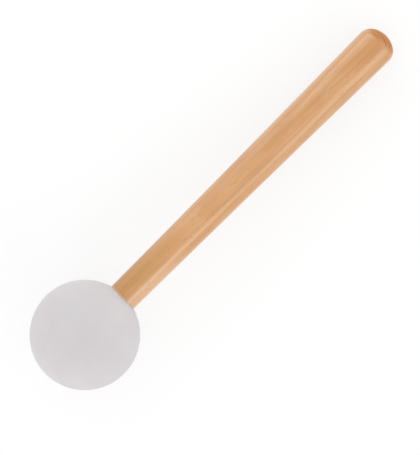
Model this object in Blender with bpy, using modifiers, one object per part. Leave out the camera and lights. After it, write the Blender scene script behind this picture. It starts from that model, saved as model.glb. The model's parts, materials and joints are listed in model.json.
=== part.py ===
"""A ball mallet for drums, gongs and singing bowls, lying on its side.

A moulded ball of solid rubber seats on the shoulder of a turned wooden handle. The handle's
tenon is glued into a blind socket in the ball, and ring grooves in the tenon key the glue.

Units are metres and +Z is up. The mallet lies on the floor at z = 0, with its ball towards -X,
the butt of its handle towards +X, and the origin under the middle of its outer box.
"""
from math import asin, cos, pi, radians, sin, sqrt, tan

import bpy

# Ball
BALL_DIAMETER = 0.060

# Handle outside the ball
HANDLE_LENGTH = 0.2016       # from the shoulder to the tip of the butt
NECK_DIAMETER = 0.0173       # at the shoulder
GRIP_DIAMETER = 0.0218       # widest, next to the butt
GRIP_LENGTH = 0.0035         # straight stretch between the taper and the butt
BUTT_LENGTH = 0.0084         # depth of the rounded butt
TAPER_HOLLOW = 0.337         # 0 is a straight taper, 1 one that starts level at the neck
SHOULDER_CHAMFER = 0.0003

# Tenon inside the ball
TENON_DIAMETER = 0.012
TENON_LENGTH = 0.032
TENON_CHAMFER = 0.001
GROOVE_COUNT = 3
GROOVE_WIDTH = 0.0025
GROOVE_DEPTH = 0.0008

# Fits
GLUE_THICKNESS = 0.0006
CLEARANCE = 0.0003           # between two pieces that touch

# Fineness. Half the turn steps is an odd number, so that a flat lies on the floor
# while the outermost corners point sideways.
TURN_STEPS = 50
BALL_SEGMENTS = 30
BUTT_SEGMENTS = 9
TAPER_SEGMENTS = 10
SMOOTH_ANGLE = radians(30)
MERGE_DISTANCE = 0.00001
TILT_HALVINGS = 40

# Worked out, as heights along the mallet's own axis from the ball's centre
BALL_RADIUS = BALL_DIAMETER / 2
NECK_RADIUS = NECK_DIAMETER / 2
GRIP_RADIUS = GRIP_DIAMETER / 2
SEAT_RADIUS = NECK_RADIUS + CLEARANCE
SEAT = sqrt(BALL_RADIUS ** 2 - SEAT_RADIUS ** 2)
SHOULDER = SEAT + CLEARANCE
TENON_END = SHOULDER - TENON_LENGTH
BUTT_TIP = SHOULDER + HANDLE_LENGTH
BUTT_FOOT = BUTT_TIP - BUTT_LENGTH
TAPER_TOP = BUTT_FOOT - GRIP_LENGTH
GLUE_FACE = CLEARANCE + GLUE_THICKNESS     # the glue's outside, out from the tenon
SOCKET_FACE = GLUE_FACE + CLEARANCE        # the socket's wall, out from the tenon

# An outline is a list of (radius, height) points that runs down a turned piece's outer side.


def arc(centre, width, depth, start, end, segments):
    """Points on an ellipse about a height on the axis, by angle down from its top."""
    angles = [start + (end - start) * step / segments for step in range(segments + 1)]
    return [(width * sin(angle), centre + depth * cos(angle)) for angle in angles]


def taper_radius(share):
    """The handle's radius on its slightly hollow taper: share 0 is the neck, 1 the grip."""
    rise = (1 - TAPER_HOLLOW) * share + TAPER_HOLLOW * share ** 2
    return NECK_RADIUS + (GRIP_RADIUS - NECK_RADIUS) * rise


def groove_outline(wall, middle, grown):
    """One ring groove across a wall of that radius, whose faces are all grown outward."""
    floor = wall - GROOVE_DEPTH
    half_width = GROOVE_WIDTH / 2 - grown
    top = middle + half_width
    bottom = middle - half_width
    return [(wall, top), (floor, top), (floor, bottom), (wall, bottom)]


def tenon_outline(grown, top, grooves):
    """The tenon from its root to the middle of its end, with its faces grown outward."""
    wall = TENON_DIAMETER / 2 + grown
    end = TENON_END - grown
    corner = TENON_CHAMFER + grown - grown * tan(pi / 8)
    outline = [(wall, top)]
    for number in range(1, grooves + 1):
        middle = SHOULDER - TENON_LENGTH * number / (grooves + 1)
        outline += groove_outline(wall, middle, grown)
    outline += [(wall, end + corner), (wall - corner, end), (0, end)]
    return outline


def ball_outline():
    """Up the socket from its floor, out over the flat seat, and down round the ball."""
    socket = tenon_outline(SOCKET_FACE, SEAT, 0)
    seat_angle = asin(SEAT_RADIUS / BALL_RADIUS)
    outside = arc(0, BALL_RADIUS, BALL_RADIUS, seat_angle, pi, BALL_SEGMENTS)
    return socket[::-1] + outside


def handle_outline():
    """Down from the butt's tip over the grip, the taper and the shoulder to the tenon's end."""
    outline = arc(BUTT_FOOT, GRIP_RADIUS, BUTT_LENGTH, 0, pi / 2, BUTT_SEGMENTS)
    taper_foot = SHOULDER + SHOULDER_CHAMFER
    for step in range(TAPER_SEGMENTS + 1):
        share = 1 - step / TAPER_SEGMENTS
        outline.append((taper_radius(share), taper_foot + (TAPER_TOP - taper_foot) * share))
    outline.append((NECK_RADIUS - SHOULDER_CHAMFER, SHOULDER))
    return outline + tenon_outline(0, SHOULDER, GROOVE_COUNT)


def glue_outline():
    """Up the inside of the cup of glue, with its ribs, over its rim and down the outside."""
    inside = tenon_outline(CLEARANCE, SEAT, GROOVE_COUNT)
    outside = tenon_outline(GLUE_FACE, SEAT, 0)
    return inside[::-1] + outside


def reach_down(outline, tilt):
    """How far a turned piece's flats reach below the ball's centre when the handle dips."""
    flat = cos(pi / TURN_STEPS)
    return max(radius * flat * cos(tilt) + height * sin(tilt) for radius, height in outline)


def reach_along(outline, tilt, side):
    """How far a turned piece reaches from the ball's centre towards +X or -X."""
    flat = cos(pi / TURN_STEPS)
    return max(side * height * cos(tilt) + radius * flat * sin(tilt) for radius, height in outline)


def lying_tilt(ball, handle):
    """The dip of the handle at which ball and butt both touch the floor, by halving a range."""
    low = -pi / 4
    high = pi / 4
    for _ in range(TILT_HALVINGS):
        tilt = (low + high) / 2
        if reach_down(handle, tilt) < reach_down(ball, tilt):
            low = tilt
        else:
            high = tilt
    return (low + high) / 2


def clear_scene():
    for thing in list(bpy.data.objects):
        bpy.data.objects.remove(thing, do_unlink=True)


def finish(name, colour, roughness):
    """A plain material with the piece's colour and roughness."""
    material = bpy.data.materials.new(name)
    material.use_nodes = True
    shader = material.node_tree.nodes["Principled BSDF"]
    shader.inputs["Base Color"].default_value = (*colour, 1)
    shader.inputs["Roughness"].default_value = roughness
    shader.inputs["Metallic"].default_value = 0
    return material


def turned(name, outline, material, axis, collection):
    """A solid of revolution: its outline is screwed once round the mallet's axis."""
    line = bpy.data.meshes.new(name + "_outline")
    points = [(radius, 0, height) for radius, height in outline]
    line.from_pydata(points, [(i, i + 1) for i in range(len(points) - 1)], [])
    guide = bpy.data.objects.new(name + "_guide", line)
    collection.objects.link(guide)
    screw = guide.modifiers.new("Turn", "SCREW")
    screw.axis = "Z"
    screw.steps = TURN_STEPS
    screw.render_steps = TURN_STEPS
    screw.use_merge_vertices = True
    screw.merge_threshold = MERGE_DISTANCE
    evaluated = guide.evaluated_get(bpy.context.evaluated_depsgraph_get())
    mesh = bpy.data.meshes.new_from_object(evaluated)
    bpy.data.objects.remove(guide, do_unlink=True)
    bpy.data.meshes.remove(line)

    mesh.name = name
    mesh.shade_smooth()
    mesh.set_sharp_from_angle(angle=SMOOTH_ANGLE)
    mesh.materials.append(material)
    piece = bpy.data.objects.new(name, mesh)
    piece.parent = axis
    piece.rotation_euler.z = pi / TURN_STEPS    # half a step, so that a flat faces the floor
    collection.objects.link(piece)
    return piece


def lay_down(axis, ball, handle):
    """Place the mallet's axis, which starts at the ball's centre, for the lying mallet."""
    tilt = lying_tilt(ball, handle)
    forward = max(reach_along(ball, tilt, 1), reach_along(handle, tilt, 1))
    back = max(reach_along(ball, tilt, -1), reach_along(handle, tilt, -1))
    axis.location = ((back - forward) / 2, 0, reach_down(ball, tilt))
    axis.rotation_euler = (0, pi / 2 + tilt, 0)


def build():
    clear_scene()
    collection = bpy.data.collections.new("rubber_ball_mallet")
    bpy.context.scene.collection.children.link(collection)
    ball = ball_outline()
    handle = handle_outline()
    axis = bpy.data.objects.new("mallet_axis", None)
    collection.objects.link(axis)
    lay_down(axis, ball, handle)

    rubber = finish("white_rubber", (0.66, 0.63, 0.64), 0.6)
    beech = finish("lacquered_beech", (0.65, 0.37, 0.18), 0.35)
    glue = finish("cured_glue", (0.78, 0.68, 0.42), 0.5)
    turned("rubber_ball", ball, rubber, axis, collection)
    turned("handle", handle, beech, axis, collection)
    turned("glue_layer", glue_outline(), glue, axis, collection)


build()
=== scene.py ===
"""The looks of the rubber ball mallet: fine surfaces, materials, floor, light and camera.

Everything is in metres in the model's frame, where the mallet lies on the floor at z = 0.
Heights below are along the mallet's own axis, from the ball's centre towards the butt.
Colours are linear.
"""
import json
from math import asin, cos, pi, radians, sin, sqrt, tan

import bmesh
import bpy
from mathutils import Matrix, Vector

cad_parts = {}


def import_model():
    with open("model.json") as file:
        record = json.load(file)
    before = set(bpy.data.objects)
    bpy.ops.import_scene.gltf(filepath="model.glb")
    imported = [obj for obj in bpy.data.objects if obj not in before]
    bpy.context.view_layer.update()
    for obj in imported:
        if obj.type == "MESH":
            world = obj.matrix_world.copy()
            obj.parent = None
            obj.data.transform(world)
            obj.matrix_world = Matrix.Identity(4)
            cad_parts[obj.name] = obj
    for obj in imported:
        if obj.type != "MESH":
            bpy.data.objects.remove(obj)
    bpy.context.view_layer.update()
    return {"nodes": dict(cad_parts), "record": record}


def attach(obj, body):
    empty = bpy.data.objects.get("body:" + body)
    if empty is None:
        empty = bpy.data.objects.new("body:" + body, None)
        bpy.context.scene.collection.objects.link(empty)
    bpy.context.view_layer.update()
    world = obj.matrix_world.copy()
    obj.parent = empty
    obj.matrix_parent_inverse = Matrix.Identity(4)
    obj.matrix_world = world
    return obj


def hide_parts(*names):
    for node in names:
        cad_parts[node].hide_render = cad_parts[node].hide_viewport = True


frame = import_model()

# The mallet's sizes, as the solids have them
BALL_RADIUS = 0.030
NECK_RADIUS = 0.00865
GRIP_RADIUS = 0.0109
HANDLE_LENGTH = 0.2016
GRIP_LENGTH = 0.0035
BUTT_LENGTH = 0.0084
TAPER_HOLLOW = 0.337
TENON_RADIUS = 0.006
TENON_LENGTH = 0.032
TENON_CHAMFER = 0.001
GROOVE_COUNT = 3
GROOVE_WIDTH = 0.0025
GROOVE_DEPTH = 0.0008
GLUE_THICKNESS = 0.0006
CLEARANCE = 0.0003
GRIP_MOUNT_HEIGHT = 0.180

SEAT_RADIUS = NECK_RADIUS + CLEARANCE
SEAT = sqrt(BALL_RADIUS ** 2 - SEAT_RADIUS ** 2)
SHOULDER = SEAT + CLEARANCE
BUTT_TIP = SHOULDER + HANDLE_LENGTH
BUTT_FOOT = BUTT_TIP - BUTT_LENGTH
TAPER_TOP = BUTT_FOOT - GRIP_LENGTH

# Fine edges that the solids leave out
LIP_GAP = 0.00002            # the soft seat closes up to the shoulder
LIP_WIDTH = 0.0006           # how far out the seat's rounded lip reaches
LIP_EDGE = 0.00008
SHOULDER_ROUND = 0.00012

# Fineness of the surfaces
BALL_STEPS = 160
BALL_SEGMENTS = 96
HANDLE_STEPS = 128
BUTT_SEGMENTS = 28
TAPER_SEGMENTS = 64
CORNER_SEGMENTS = 4
SHARP_ANGLE = radians(40)
ON_AXIS = 1e-9               # a ring narrower than this is a single point

# The photograph's frame and what was measured in it, in its pixels
PHOTO_WIDTH = 420
PHOTO_HEIGHT = 455
BALL_PIXEL = (84.9, 334.9)
HANDLE_ANGLE = radians(44.82)
BALL_RADIUS_PIXELS = 55.25
LENS = 250
SENSOR = 36

# Light and background. Each lamp: name, centre, the place it faces, width, height, radiance.
TENT_LEVEL = 0.81
STRIP_RADIANCE = 1.45
BUTT_PANEL_RADIANCE = 0.95
BACK_PANEL_RADIANCE = 0.42
END_PANEL_RADIANCE = 0.88
LAMPS = (
    ("strip", (0, -0.76, 0.52), (0, 0, 0.02), 1.2, 0.34, STRIP_RADIANCE),
    ("butt_panel", (0.53, 0.95, 0.45), (0.53, 0, 0.45), 1.0, 0.86, BUTT_PANEL_RADIANCE),
    ("back_panel", (-0.50, 0.95, 0.36), (-0.50, 0, 0.36), 1.0, 0.68, BACK_PANEL_RADIANCE),
    ("ball_end_panel", (-1.0, 0, 0.35), (0, 0, 0.35), 1.2, 0.6, END_PANEL_RADIANCE),
    ("butt_end_panel", (1.1, 0, 0.35), (0, 0, 0.35), 1.2, 0.6, END_PANEL_RADIANCE),
)
WHITE = (1, 1, 1, 1)
FLOOR_COLOUR = (0.80, 0.80, 0.80, 1)
FLOOR_HALF = 30.0
FLOOR_HEIGHT = -0.0001
FLOOR_GLOW = 0.74            # share of plain white that the floor shows next to the mallet
FLOOR_FADE = (0.35, 1.3)     # distances between which that share grows to 1

# The tree that the handle was cut from: its heart runs beside the handle, parallel to it
HEART_DOWN = 0.0252
HEART_ACROSS = -0.0122
RING_SPACING = 0.00238
RING_LINE = 0.0357           # one ring's distance from the heart
RING_WOBBLE = 0.0005
RING_SHARPNESS = 3.5         # how much of a ring's darkness gathers at its late edge
LATE_EDGE = 0.93             # where in a ring the late wood ends

# Grain noises: scale across the handle per metre, and the share of it along the handle
CLOUDS = (110.0, 0.35)
STREAKS = (480.0, 0.04)
FIBRES = (2600.0, 0.02)
WOBBLES = (60.0, 0.10)
COAT_WAVES = (260.0, 0.30)
FLECKS = (800.0, 0.16)

# The noise levels, or distances in a fleck's cell, between which each one shows
CLOUD_LEVELS = (0.35, 0.65)
STREAK_LEVELS = (0.40, 0.75)
FIBRE_LEVELS = (0.35, 0.75)
WOBBLE_LEVELS = (0.2, 0.8)
FLECK_REACH = (0.08, 0.20)
PIT_LEVELS = (0.62, 0.80)

# The beech's colours, the painted highlights and painted shade laid over them, and the most that each
# covers what lies under it
WOOD_TONES = ((0.660, 0.340, 0.138, 1), (0.712, 0.392, 0.180, 1))
# Painted highlight: a paler colour in two bands along the grip half, where the lamps' long reflections
# lie on the lacquer.
HIGHLIGHT_BAND_COLOUR, HIGHLIGHT_BAND_SHARE = (0.745, 0.425, 0.212, 1), 0.6
STREAK_COLOUR, STREAK_SHARE = (0.52, 0.255, 0.095, 1), 0.38
RING_COLOUR, RING_SHARE = (0.44, 0.190, 0.065, 1), 0.34
FIBRE_COLOUR, FIBRE_SHARE = (0.48, 0.225, 0.085, 1), 0.30
# Painted shade: a brown on the neck's +Y side, where the ball shades the wood.
NECK_PAINTED_SHADE, NECK_PAINTED_SHADE_SHARE = (0.510, 0.245, 0.060, 1), 0.65
# Painted highlight: a pale colour on the neck's -Y side, where more light falls and the strip lamp's
# reflection widens.
NECK_PAINTED_LIGHT, NECK_PAINTED_LIGHT_SHARE = (0.75, 0.47, 0.27, 1), 0.75
# Painted shade: a darker middle strip along the handle near the butt, where less light reaches.
BUTT_PAINTED_SHADE, BUTT_PAINTED_SHADE_SHARE = (0.560, 0.245, 0.070, 1), 0.45
# Painted highlight: a pale line at the shoulder, standing in for the reflection on its rounded edge and
# lightening the shade in the joint.
SHOULDER_PAINTED_HIGHLIGHT, SHOULDER_PAINTED_HIGHLIGHT_SHARE = (0.86, 0.52, 0.27, 1), 0.55
FLECK_COLOUR, FLECK_SHARE = (0.36, 0.150, 0.055, 1), 0.42
END_COLOUR, END_SHARE = (0.525, 0.215, 0.055, 1), 0.9
END_RING_COLOUR, END_RING_SHARE = (0.30, 0.085, 0.035, 1), 0.85

# Where these tones, painted highlights and painted shade begin and are full. Heights are on the axis,
# and sides are along Y.
# Painted highlight bands: one on the -Y side under the strip lamp's reflection, one on the +Y side under
# the broad reflection.
PAINTED_HIGHLIGHT_BANDS = ((-0.0047, 0.0036, 0.0012), (0.0080, 0.0028, 0.0010))   # centre, half width, core
HIGHLIGHT_BAND_HEIGHTS = (0.100, 0.155)
NECK_HEIGHTS = (0.085, 0.040)
# Painted shade: the side of the neck that the ball shades.
NECK_PAINTED_SHADE_SIDE = (-0.0045, 0.0025)
# Painted highlight: the side of the neck that catches the light.
NECK_PAINTED_LIGHT_SIDE = (-0.0020, -0.0045)
# Painted shade: the width of the middle strip near the butt, and below how high it reaches.
BUTT_PAINTED_SHADE_SIDE = (0.0050, 0.0025)
BUTT_PAINTED_SHADE_HEIGHTS = (0.190, 0.218)
# Painted highlight: the heights of the pale line at the shoulder.
SHOULDER_PAINTED_HIGHLIGHT_HEIGHTS = (SHOULDER + 0.0010, SHOULDER + 0.0003)
END_FACING = (0.25, 0.80)            # how far the surface faces along the axis
END_RING_FACING = (0.30, 0.60)

# The lacquer and the wood under it: on the side, and on the end grain, which takes less lacquer
WOOD_ROUGHNESS = (0.45, 0.70)
COAT_WEIGHT = (1.0, 0.35)
COAT_ROUGHNESS = 0.17
WOOD_SPECULAR = 0.12

# Bumps: strength and depth
FIBRE_BUMP = (0.10, 0.0002)
COAT_BUMP = (0.20, 0.0004)
SKIN_BUMP = (0.10, 0.0002)
PARTING_BUMP = (0.5, 0.0001)

# The rubber and the glue
RUBBER_TONES = ((0.640, 0.612, 0.623, 1), (0.656, 0.635, 0.643, 1))
PIT_COLOUR, PIT_SHARE = (0.60, 0.565, 0.56, 1), 0.30
RUBBER_CLOUD_SCALE = 55.0
RUBBER_SKIN_SCALE = 2600.0
RUBBER_PIT_SCALE = 700.0
PARTING_HALF_WIDTH = 0.0003
GLUE_TONES = ((0.70, 0.56, 0.30, 1), (0.80, 0.70, 0.45, 1))
GLUE_CLOUD_SCALE = 900.0


def mallet_matrix():
    """Places the mallet's axis, from the ball's centre (origin) towards the butt (+Z)."""
    grip = frame["record"]["mounts"][0]
    along = Vector(grip["axis"]).normalized()
    side = Vector((0, 1, 0))
    down = side.cross(along)
    centre = Vector(grip["pos_m"]) - along * GRIP_MOUNT_HEIGHT
    turn = Matrix((down, side, along)).transposed()
    return Matrix.Translation(centre) @ turn.to_4x4()


# Shapes: an outline is a list of (radius, height) points down a turned piece's outer side.

def arc(centre_radius, centre_height, width, depth, start, end, segments):
    """Points on an ellipse, by angle down from its top."""
    points = []
    for step in range(segments + 1):
        angle = start + (end - start) * step / segments
        points.append((centre_radius + width * sin(angle), centre_height + depth * cos(angle)))
    return points


def taper_radius(share):
    """The handle's radius on its slightly hollow taper: share 0 is the neck, 1 the grip."""
    rise = (1 - TAPER_HOLLOW) * share + TAPER_HOLLOW * share ** 2
    return NECK_RADIUS + (GRIP_RADIUS - NECK_RADIUS) * rise


def tenon_outline(grown, top, grooves):
    """The tenon from its root to the middle of its end, with its faces grown outward."""
    wall = TENON_RADIUS + grown
    end = SHOULDER - TENON_LENGTH - grown
    corner = TENON_CHAMFER + grown - grown * tan(pi / 8)
    outline = [(wall, top)]
    for number in range(1, grooves + 1):
        middle = SHOULDER - TENON_LENGTH * number / (grooves + 1)
        for radius, side in ((wall, 1), (wall - GROOVE_DEPTH, 1), (wall - GROOVE_DEPTH, -1), (wall, -1)):
            outline.append((radius, middle + side * (GROOVE_WIDTH / 2 - grown)))
    outline += [(wall, end + corner), (wall - corner, end), (0, end)]
    return outline


def ball_outline():
    """Up the socket, over the soft seat that hugs the shoulder, and down round the ball."""
    lip_height = SHOULDER - LIP_GAP
    socket = tenon_outline(2 * CLEARANCE + GLUE_THICKNESS, lip_height, 0)
    lip_start = asin((SEAT_RADIUS + LIP_WIDTH) / BALL_RADIUS)
    outline = socket[::-1]
    outline.append((NECK_RADIUS - LIP_EDGE, lip_height))
    outline.append((NECK_RADIUS + LIP_EDGE, lip_height - LIP_EDGE))
    outline += arc(0, 0, BALL_RADIUS, BALL_RADIUS, lip_start, pi, BALL_SEGMENTS)
    return outline


def handle_outline():
    """Down from the butt's tip to the softly broken edge of the shoulder, and the tenon."""
    outline = arc(0, BUTT_FOOT, GRIP_RADIUS, BUTT_LENGTH, 0, pi / 2, BUTT_SEGMENTS)
    foot = SHOULDER + SHOULDER_ROUND
    for step in range(TAPER_SEGMENTS):
        share = 1 - step / TAPER_SEGMENTS
        outline.append((taper_radius(share), foot + (TAPER_TOP - foot) * share))
    outline += arc(NECK_RADIUS - SHOULDER_ROUND, foot, SHOULDER_ROUND, SHOULDER_ROUND,
                   pi / 2, pi, CORNER_SEGMENTS)
    return outline + tenon_outline(0, SHOULDER, GROOVE_COUNT)


def turned(name, outline, steps, material):
    """A closed solid of revolution about the mallet's axis, joined up ring by ring."""
    mesh = bmesh.new()
    rings = []
    for radius, height in outline:
        if radius < ON_AXIS:
            rings.append([mesh.verts.new((0, 0, height))] * steps)
            continue
        ring = []
        for step in range(steps):
            angle = 2 * pi * (step + 0.5) / steps
            ring.append(mesh.verts.new((radius * cos(angle), radius * sin(angle), height)))
        rings.append(ring)
    for upper, lower in zip(rings, rings[1:]):
        for step in range(steps):
            following = (step + 1) % steps
            corners = [upper[step], lower[step], lower[following], upper[following]]
            mesh.faces.new(list(dict.fromkeys(corners)))
    data = bpy.data.meshes.new(name)
    mesh.to_mesh(data)
    mesh.free()
    data.transform(mallet_matrix())
    data.shade_smooth()
    data.set_sharp_from_angle(angle=SHARP_ANGLE)
    data.materials.append(material)
    piece = bpy.data.objects.new(name, data)
    bpy.context.scene.collection.objects.link(piece)
    return piece


# Nodes

def node(tree, kind, inputs=None, **settings):
    """A new node with its settings, its inputs set to values or linked from sockets."""
    made = tree.nodes.new(kind)
    for name, value in settings.items():
        setattr(made, name, value)
    for name, value in (inputs or {}).items():
        if isinstance(value, bpy.types.NodeSocket):
            tree.links.new(value, made.inputs[name])
        else:
            made.inputs[name].default_value = value
    return made


def calculate(tree, operation, *values):
    """The result of one Math node."""
    return node(tree, "ShaderNodeMath", dict(enumerate(values)), operation=operation).outputs[0]


def noise(tree, place, scale, detail=2.0, roughness=0.5):
    """Noise with features of about 1 / scale metres."""
    made = node(tree, "ShaderNodeTexNoise",
                {"Vector": place, "Scale": scale, "Detail": detail, "Roughness": roughness})
    return made.outputs["Fac"]


def drawn_out(tree, place, share):
    """Coordinates for grain: along the handle they pass only a share as fast as across it."""
    scales = (1, 1, share)
    return node(tree, "ShaderNodeVectorMath", {0: place, 1: scales}, operation="MULTIPLY").outputs[0]


def grain_noise(tree, place, kind, detail=2.0, roughness=0.5):
    """One of the grain noises listed above."""
    scale, share = kind
    return noise(tree, drawn_out(tree, place, share), scale, detail, roughness)


def mallet_place(tree):
    """The shaded point, measured from the ball's centre with +Z along the mallet's axis."""
    place = node(tree, "ShaderNodeTexCoord").outputs["Object"]
    matrix = mallet_matrix()
    made = node(tree, "ShaderNodeMapping", {"Vector": place, "Location": matrix.translation,
                                            "Rotation": matrix.to_euler()}, vector_type="TEXTURE")
    return made.outputs["Vector"]


def split_place(tree, place):
    """The coordinates down, across and along the mallet's axis."""
    split = node(tree, "ShaderNodeSeparateXYZ", {0: place})
    return split.outputs["X"], split.outputs["Y"], split.outputs["Z"]


def facing_along(tree):
    """How far the surface faces along the mallet's axis, from -1 to 1."""
    normal = node(tree, "ShaderNodeTexCoord").outputs["Normal"]
    along = mallet_matrix().to_3x3() @ Vector((0, 0, 1))
    product = node(tree, "ShaderNodeVectorMath", {0: normal, 1: along}, operation="DOT_PRODUCT")
    return product.outputs["Value"]


def between(tree, value, low, high, to_low=0.0, to_high=1.0, smooth=True):
    """A value mapped from one range to another, and held at its ends."""
    kind = "SMOOTHSTEP" if smooth else "LINEAR"
    made = node(tree, "ShaderNodeMapRange",
                {"Value": value, "From Min": low, "From Max": high, "To Min": to_low, "To Max": to_high},
                interpolation_type=kind)
    return made.outputs["Result"]


def blended(tree, share, first, second):
    """Two colours mixed by a share."""
    made = node(tree, "ShaderNodeMix", {0: share, 6: first, 7: second}, data_type="RGBA")
    return made.outputs[2]


def bump(tree, height, strength, distance, under=None):
    """The normal of a bump map, over another one if there is one under it."""
    inputs = {"Height": height, "Strength": strength, "Distance": distance}
    if under is not None:
        inputs["Normal"] = under
    return node(tree, "ShaderNodeBump", inputs).outputs["Normal"]


def new_material(name):
    """An empty node material and its Principled shader."""
    material = bpy.data.materials.new(name)
    material.use_nodes = True
    return material, material.node_tree, material.node_tree.nodes["Principled BSDF"]


# Materials

def ring_lines(tree, place):
    """Growth rings round the tree's heart: 0 in the early wood, up to 1 at a ring's late edge."""
    wobble = grain_noise(tree, place, WOBBLES)
    from_axis_down, from_axis_across, _ = split_place(tree, place)
    down = calculate(tree, "SUBTRACT", from_axis_down, HEART_DOWN)
    across = calculate(tree, "SUBTRACT", from_axis_across, HEART_ACROSS)
    squares = calculate(tree, "ADD", calculate(tree, "MULTIPLY", down, down),
                        calculate(tree, "MULTIPLY", across, across))
    distance = calculate(tree, "ADD", calculate(tree, "SQRT", squares), -RING_LINE)
    bend = between(tree, wobble, *WOBBLE_LEVELS, -RING_WOBBLE, RING_WOBBLE, smooth=False)
    bent = calculate(tree, "ADD", distance, bend)
    phase = calculate(tree, "FRACT", calculate(tree, "DIVIDE", bent, RING_SPACING))
    return calculate(tree, "MULTIPLY", calculate(tree, "POWER", phase, RING_SHARPNESS),
                     between(tree, phase, LATE_EDGE, 1.0, 1.0, 0.0))


def wood_colour(tree, place, rings, fibres):
    """Clouds of two tones, two painted highlight bands on the grip half, streaks, growth rings and
    fibres.
    """
    clouds = grain_noise(tree, place, CLOUDS)
    streaks = grain_noise(tree, place, STREAKS)
    _, across, height = split_place(tree, place)
    colour = blended(tree, between(tree, clouds, *CLOUD_LEVELS), *WOOD_TONES)
    # Painted highlight: the two pale bands stand in for the lamps' reflections along the grip half.
    for centre, half_width, core in PAINTED_HIGHLIGHT_BANDS:
        off_centre = calculate(tree, "ABSOLUTE", calculate(tree, "SUBTRACT", across, centre))
        highlight_band = between(tree, off_centre, half_width, core, 0.0, HIGHLIGHT_BAND_SHARE)
        painted_highlight = calculate(tree, "MULTIPLY", between(tree, height, *HIGHLIGHT_BAND_HEIGHTS), highlight_band)
        colour = blended(tree, painted_highlight, colour, HIGHLIGHT_BAND_COLOUR)
    streaked = between(tree, streaks, *STREAK_LEVELS, 0.0, STREAK_SHARE)
    colour = blended(tree, streaked, colour, STREAK_COLOUR)
    colour = blended(tree, calculate(tree, "MULTIPLY", rings, RING_SHARE), colour, RING_COLOUR)
    fibrous = between(tree, fibres, *FIBRE_LEVELS, 0.0, FIBRE_SHARE)
    return blended(tree, fibrous, colour, FIBRE_COLOUR)


def painted_light_and_shade(tree, place, colour):
    """Painted shade on the neck's +Y side next to the ball and a painted highlight on its -Y side, a
    painted highlight at the shoulder's edge, and painted shade along the middle near the butt.
    """
    _, across, height = split_place(tree, place)
    near_ball = between(tree, height, *NECK_HEIGHTS)
    # Painted shade: the neck's +Y side next to the ball, darkened as if in the ball's shade.
    neck_shade = calculate(tree, "MULTIPLY", near_ball,
                      between(tree, across, *NECK_PAINTED_SHADE_SIDE, 0.0, NECK_PAINTED_SHADE_SHARE))
    colour = blended(tree, neck_shade, colour, NECK_PAINTED_SHADE)
    # Painted highlight: the neck's -Y side next to the ball made paler, as if more brightly lit.
    painted_highlight = calculate(tree, "MULTIPLY", near_ball,
                     between(tree, across, *NECK_PAINTED_LIGHT_SIDE, 0.0, NECK_PAINTED_LIGHT_SHARE))
    colour = blended(tree, painted_highlight, colour, NECK_PAINTED_LIGHT)
    # Painted shade: the middle of the handle near the butt made darker, as if less lit.
    off_axis = calculate(tree, "ABSOLUTE", across)
    middle = calculate(tree, "MULTIPLY", between(tree, height, *BUTT_PAINTED_SHADE_HEIGHTS),
                       between(tree, off_axis, *BUTT_PAINTED_SHADE_SIDE, 0.0, BUTT_PAINTED_SHADE_SHARE))
    colour = blended(tree, middle, colour, BUTT_PAINTED_SHADE)
    # Painted highlight: a pale line just above the shoulder, standing in for its rounded edge's
    # reflection and lightening the joint's shade.
    shoulder_highlight = between(tree, height, *SHOULDER_PAINTED_HIGHLIGHT_HEIGHTS, 0.0, SHOULDER_PAINTED_HIGHLIGHT_SHARE)
    return blended(tree, shoulder_highlight, colour, SHOULDER_PAINTED_HIGHLIGHT)


def flecked(tree, place, colour):
    """Short dark ray flecks, strewn over the wood."""
    scale, share = FLECKS
    cells = node(tree, "ShaderNodeTexVoronoi",
                 {"Vector": drawn_out(tree, place, share), "Scale": scale}, feature="F1")
    flecks = between(tree, cells.outputs["Distance"], *FLECK_REACH, FLECK_SHARE, 0.0)
    return blended(tree, flecks, colour, FLECK_COLOUR)


def end_grained(tree, facing, end, rings, colour):
    """Darker end grain on the butt, with the growth rings drawn on it."""
    colour = blended(tree, calculate(tree, "MULTIPLY", end, END_SHARE), colour, END_COLOUR)
    end_rings = calculate(tree, "MULTIPLY", between(tree, facing, *END_RING_FACING),
                          calculate(tree, "MULTIPLY", rings, END_RING_SHARE))
    return blended(tree, end_rings, colour, END_RING_COLOUR)


def beech():
    """Lacquered beech: faint growth rings, fine fibres, small ray flecks, darker end grain, and painted
    highlights and painted shade.
    """
    material, tree, shader = new_material("lacquered_beech_fine")
    place = mallet_place(tree)
    rings = ring_lines(tree, place)
    fibres = grain_noise(tree, place, FIBRES, 3.0, 0.6)
    facing = facing_along(tree)
    end = between(tree, facing, *END_FACING)
    colour = wood_colour(tree, place, rings, fibres)
    colour = painted_light_and_shade(tree, place, colour)
    colour = flecked(tree, place, colour)
    colour = end_grained(tree, facing, end, rings, colour)
    waves = grain_noise(tree, place, COAT_WAVES)

    shader.inputs["Specular IOR Level"].default_value = WOOD_SPECULAR
    shader.inputs["Coat Roughness"].default_value = COAT_ROUGHNESS
    tree.links.new(between(tree, end, 0.0, 1.0, *WOOD_ROUGHNESS), shader.inputs["Roughness"])
    tree.links.new(between(tree, end, 0.0, 1.0, *COAT_WEIGHT), shader.inputs["Coat Weight"])
    tree.links.new(colour, shader.inputs["Base Color"])
    tree.links.new(bump(tree, fibres, *FIBRE_BUMP), shader.inputs["Normal"])
    tree.links.new(bump(tree, waves, *COAT_BUMP), shader.inputs["Coat Normal"])
    return material


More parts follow.
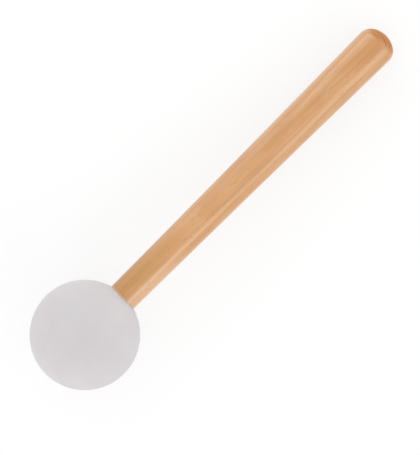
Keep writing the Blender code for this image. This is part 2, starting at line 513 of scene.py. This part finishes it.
def rubber():
    """White rubber: matte, a little translucent, with a faint mottle and a fine skin."""
    material, tree, shader = new_material("white_rubber_fine")
    place = mallet_place(tree)
    clouds = noise(tree, place, RUBBER_CLOUD_SCALE, 3.0)
    grain = noise(tree, place, RUBBER_SKIN_SCALE)
    pits = noise(tree, place, RUBBER_PIT_SCALE)
    colour = blended(tree, between(tree, clouds, *CLOUD_LEVELS), *RUBBER_TONES)
    colour = blended(tree, between(tree, pits, *PIT_LEVELS, 0.0, PIT_SHARE), colour, PIT_COLOUR)
    down, _, _ = split_place(tree, place)
    parting = between(tree, calculate(tree, "ABSOLUTE", down), 0.0, PARTING_HALF_WIDTH, 1.0, 0.0)
    skin = bump(tree, grain, *SKIN_BUMP)
    shader.inputs["Roughness"].default_value = 0.6
    shader.inputs["Specular IOR Level"].default_value = 0.4
    shader.inputs["Subsurface Weight"].default_value = 0.5
    shader.inputs["Subsurface Radius"].default_value = (1.0, 0.85, 0.8)
    shader.inputs["Subsurface Scale"].default_value = 0.006
    tree.links.new(colour, shader.inputs["Base Color"])
    tree.links.new(bump(tree, parting, *PARTING_BUMP, under=skin), shader.inputs["Normal"])
    return material


def cured_glue():
    """Amber glue with small clouds in it."""
    material, tree, shader = new_material("cured_glue_fine")
    place = node(tree, "ShaderNodeTexCoord").outputs["Object"]
    clouds = noise(tree, place, GLUE_CLOUD_SCALE)
    shader.inputs["Roughness"].default_value = 0.4
    tree.links.new(blended(tree, clouds, *GLUE_TONES), shader.inputs["Base Color"])
    return material


# Floor, light and camera

def seen_directly(tree):
    """1 for camera, glossy and transmission rays, which see the white set, and 0 for others."""
    path = node(tree, "ShaderNodeLightPath")
    seen = calculate(tree, "MAXIMUM", path.outputs["Is Camera Ray"], path.outputs["Is Glossy Ray"])
    return calculate(tree, "MAXIMUM", seen, path.outputs["Is Transmission Ray"])


def floor():
    """A wide white floor that keeps the mallet's soft shadow, and runs out into plain white."""
    data = bpy.data.meshes.new("floor")
    corners = [(x * FLOOR_HALF, y * FLOOR_HALF, 0) for x, y in ((-1, -1), (1, -1), (1, 1), (-1, 1))]
    data.from_pydata(corners, [], [(0, 1, 2, 3)])
    piece = bpy.data.objects.new("floor", data)
    piece.location.z = FLOOR_HEIGHT
    bpy.context.scene.collection.objects.link(piece)
    material = bpy.data.materials.new("white_floor")
    material.use_nodes = True
    tree = material.node_tree
    tree.nodes.clear()
    place = node(tree, "ShaderNodeTexCoord").outputs["Object"]
    distance = node(tree, "ShaderNodeVectorMath", {0: place}, operation="LENGTH").outputs["Value"]
    seen = seen_directly(tree)
    share = calculate(tree, "MULTIPLY", seen, between(tree, distance, *FLOOR_FADE, FLOOR_GLOW, 1.0))
    matte = node(tree, "ShaderNodeBsdfDiffuse", {"Color": blended(tree, seen, FLOOR_COLOUR, WHITE)})
    glow = node(tree, "ShaderNodeEmission", {"Color": WHITE, "Strength": 1.0})
    mixed = node(tree, "ShaderNodeMixShader", {0: share, 1: matte.outputs[0], 2: glow.outputs[0]})
    output = node(tree, "ShaderNodeOutputMaterial")
    tree.links.new(mixed.outputs[0], output.inputs["Surface"])
    data.materials.append(material)


def world():
    """An even white tent. Camera and mirror rays see it as plain white."""
    made = bpy.data.worlds.new("white_tent")
    bpy.context.scene.world = made
    made.use_nodes = True
    tree = made.node_tree
    tree.nodes.clear()
    tent = node(tree, "ShaderNodeBackground", {"Color": WHITE, "Strength": TENT_LEVEL})
    white = node(tree, "ShaderNodeBackground", {"Color": WHITE, "Strength": 1.0})
    mixed = node(tree, "ShaderNodeMixShader",
                 {0: seen_directly(tree), 1: tent.outputs[0], 2: white.outputs[0]})
    output = node(tree, "ShaderNodeOutputWorld")
    tree.links.new(mixed.outputs[0], output.inputs["Surface"])


def softbox(name, centre, aim, width, height, radiance):
    """A rectangular lamp at a place, facing another, with its width level, by its radiance."""
    data = bpy.data.lights.new(name, "AREA")
    data.shape = "RECTANGLE"
    data.size = width
    data.size_y = height
    data.energy = radiance * pi * width * height
    lamp = bpy.data.objects.new(name, data)
    away = (Vector(centre) - Vector(aim)).normalized()
    level = Vector((0, 0, 1)).cross(away).normalized()
    turn = Matrix((level, away.cross(level), away)).transposed()
    lamp.matrix_world = Matrix.Translation(centre) @ turn.to_4x4()
    bpy.context.scene.collection.objects.link(lamp)


def camera():
    """Looks square down on the mallet's axis, so that it lies in the picture as photographed."""
    place = mallet_matrix()
    centre = place.translation
    along = place.to_3x3() @ Vector((0, 0, 1))
    side = Vector((0, 1, 0))
    back = along.cross(side)
    right = along * cos(HANDLE_ANGLE) - side * sin(HANDLE_ANGLE)
    up = along * sin(HANDLE_ANGLE) + side * cos(HANDLE_ANGLE)
    metres_per_pixel = BALL_RADIUS / BALL_RADIUS_PIXELS
    to_middle_x = PHOTO_WIDTH / 2 - BALL_PIXEL[0]
    to_middle_y = BALL_PIXEL[1] - PHOTO_HEIGHT / 2
    middle = centre + (right * to_middle_x + up * to_middle_y) * metres_per_pixel
    distance = metres_per_pixel * PHOTO_HEIGHT * LENS / SENSOR
    data = bpy.data.cameras.new("camera")
    data.lens = LENS
    data.sensor_width = SENSOR
    made = bpy.data.objects.new("camera", data)
    turn = Matrix((right, up, back)).transposed()
    made.matrix_world = Matrix.Translation(middle + back * distance) @ turn.to_4x4()
    bpy.context.scene.collection.objects.link(made)
    bpy.context.scene.camera = made


def dress():
    """The ball and the handle in fine form, and the glue's own solid with a better material."""
    ball = turned("ball_fine", ball_outline(), BALL_STEPS, rubber())
    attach(ball, "root")
    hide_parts("rubber_ball")
    handle = turned("handle_fine", handle_outline(), HANDLE_STEPS, beech())
    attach(handle, "root")
    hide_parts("handle")
    frame["nodes"]["glue_layer"].material_slots[0].material = cured_glue()


dress()
floor()
world()
for lamp in LAMPS:
    softbox(*lamp)
camera()
bpy.context.scene.view_settings.view_transform = "Standard"
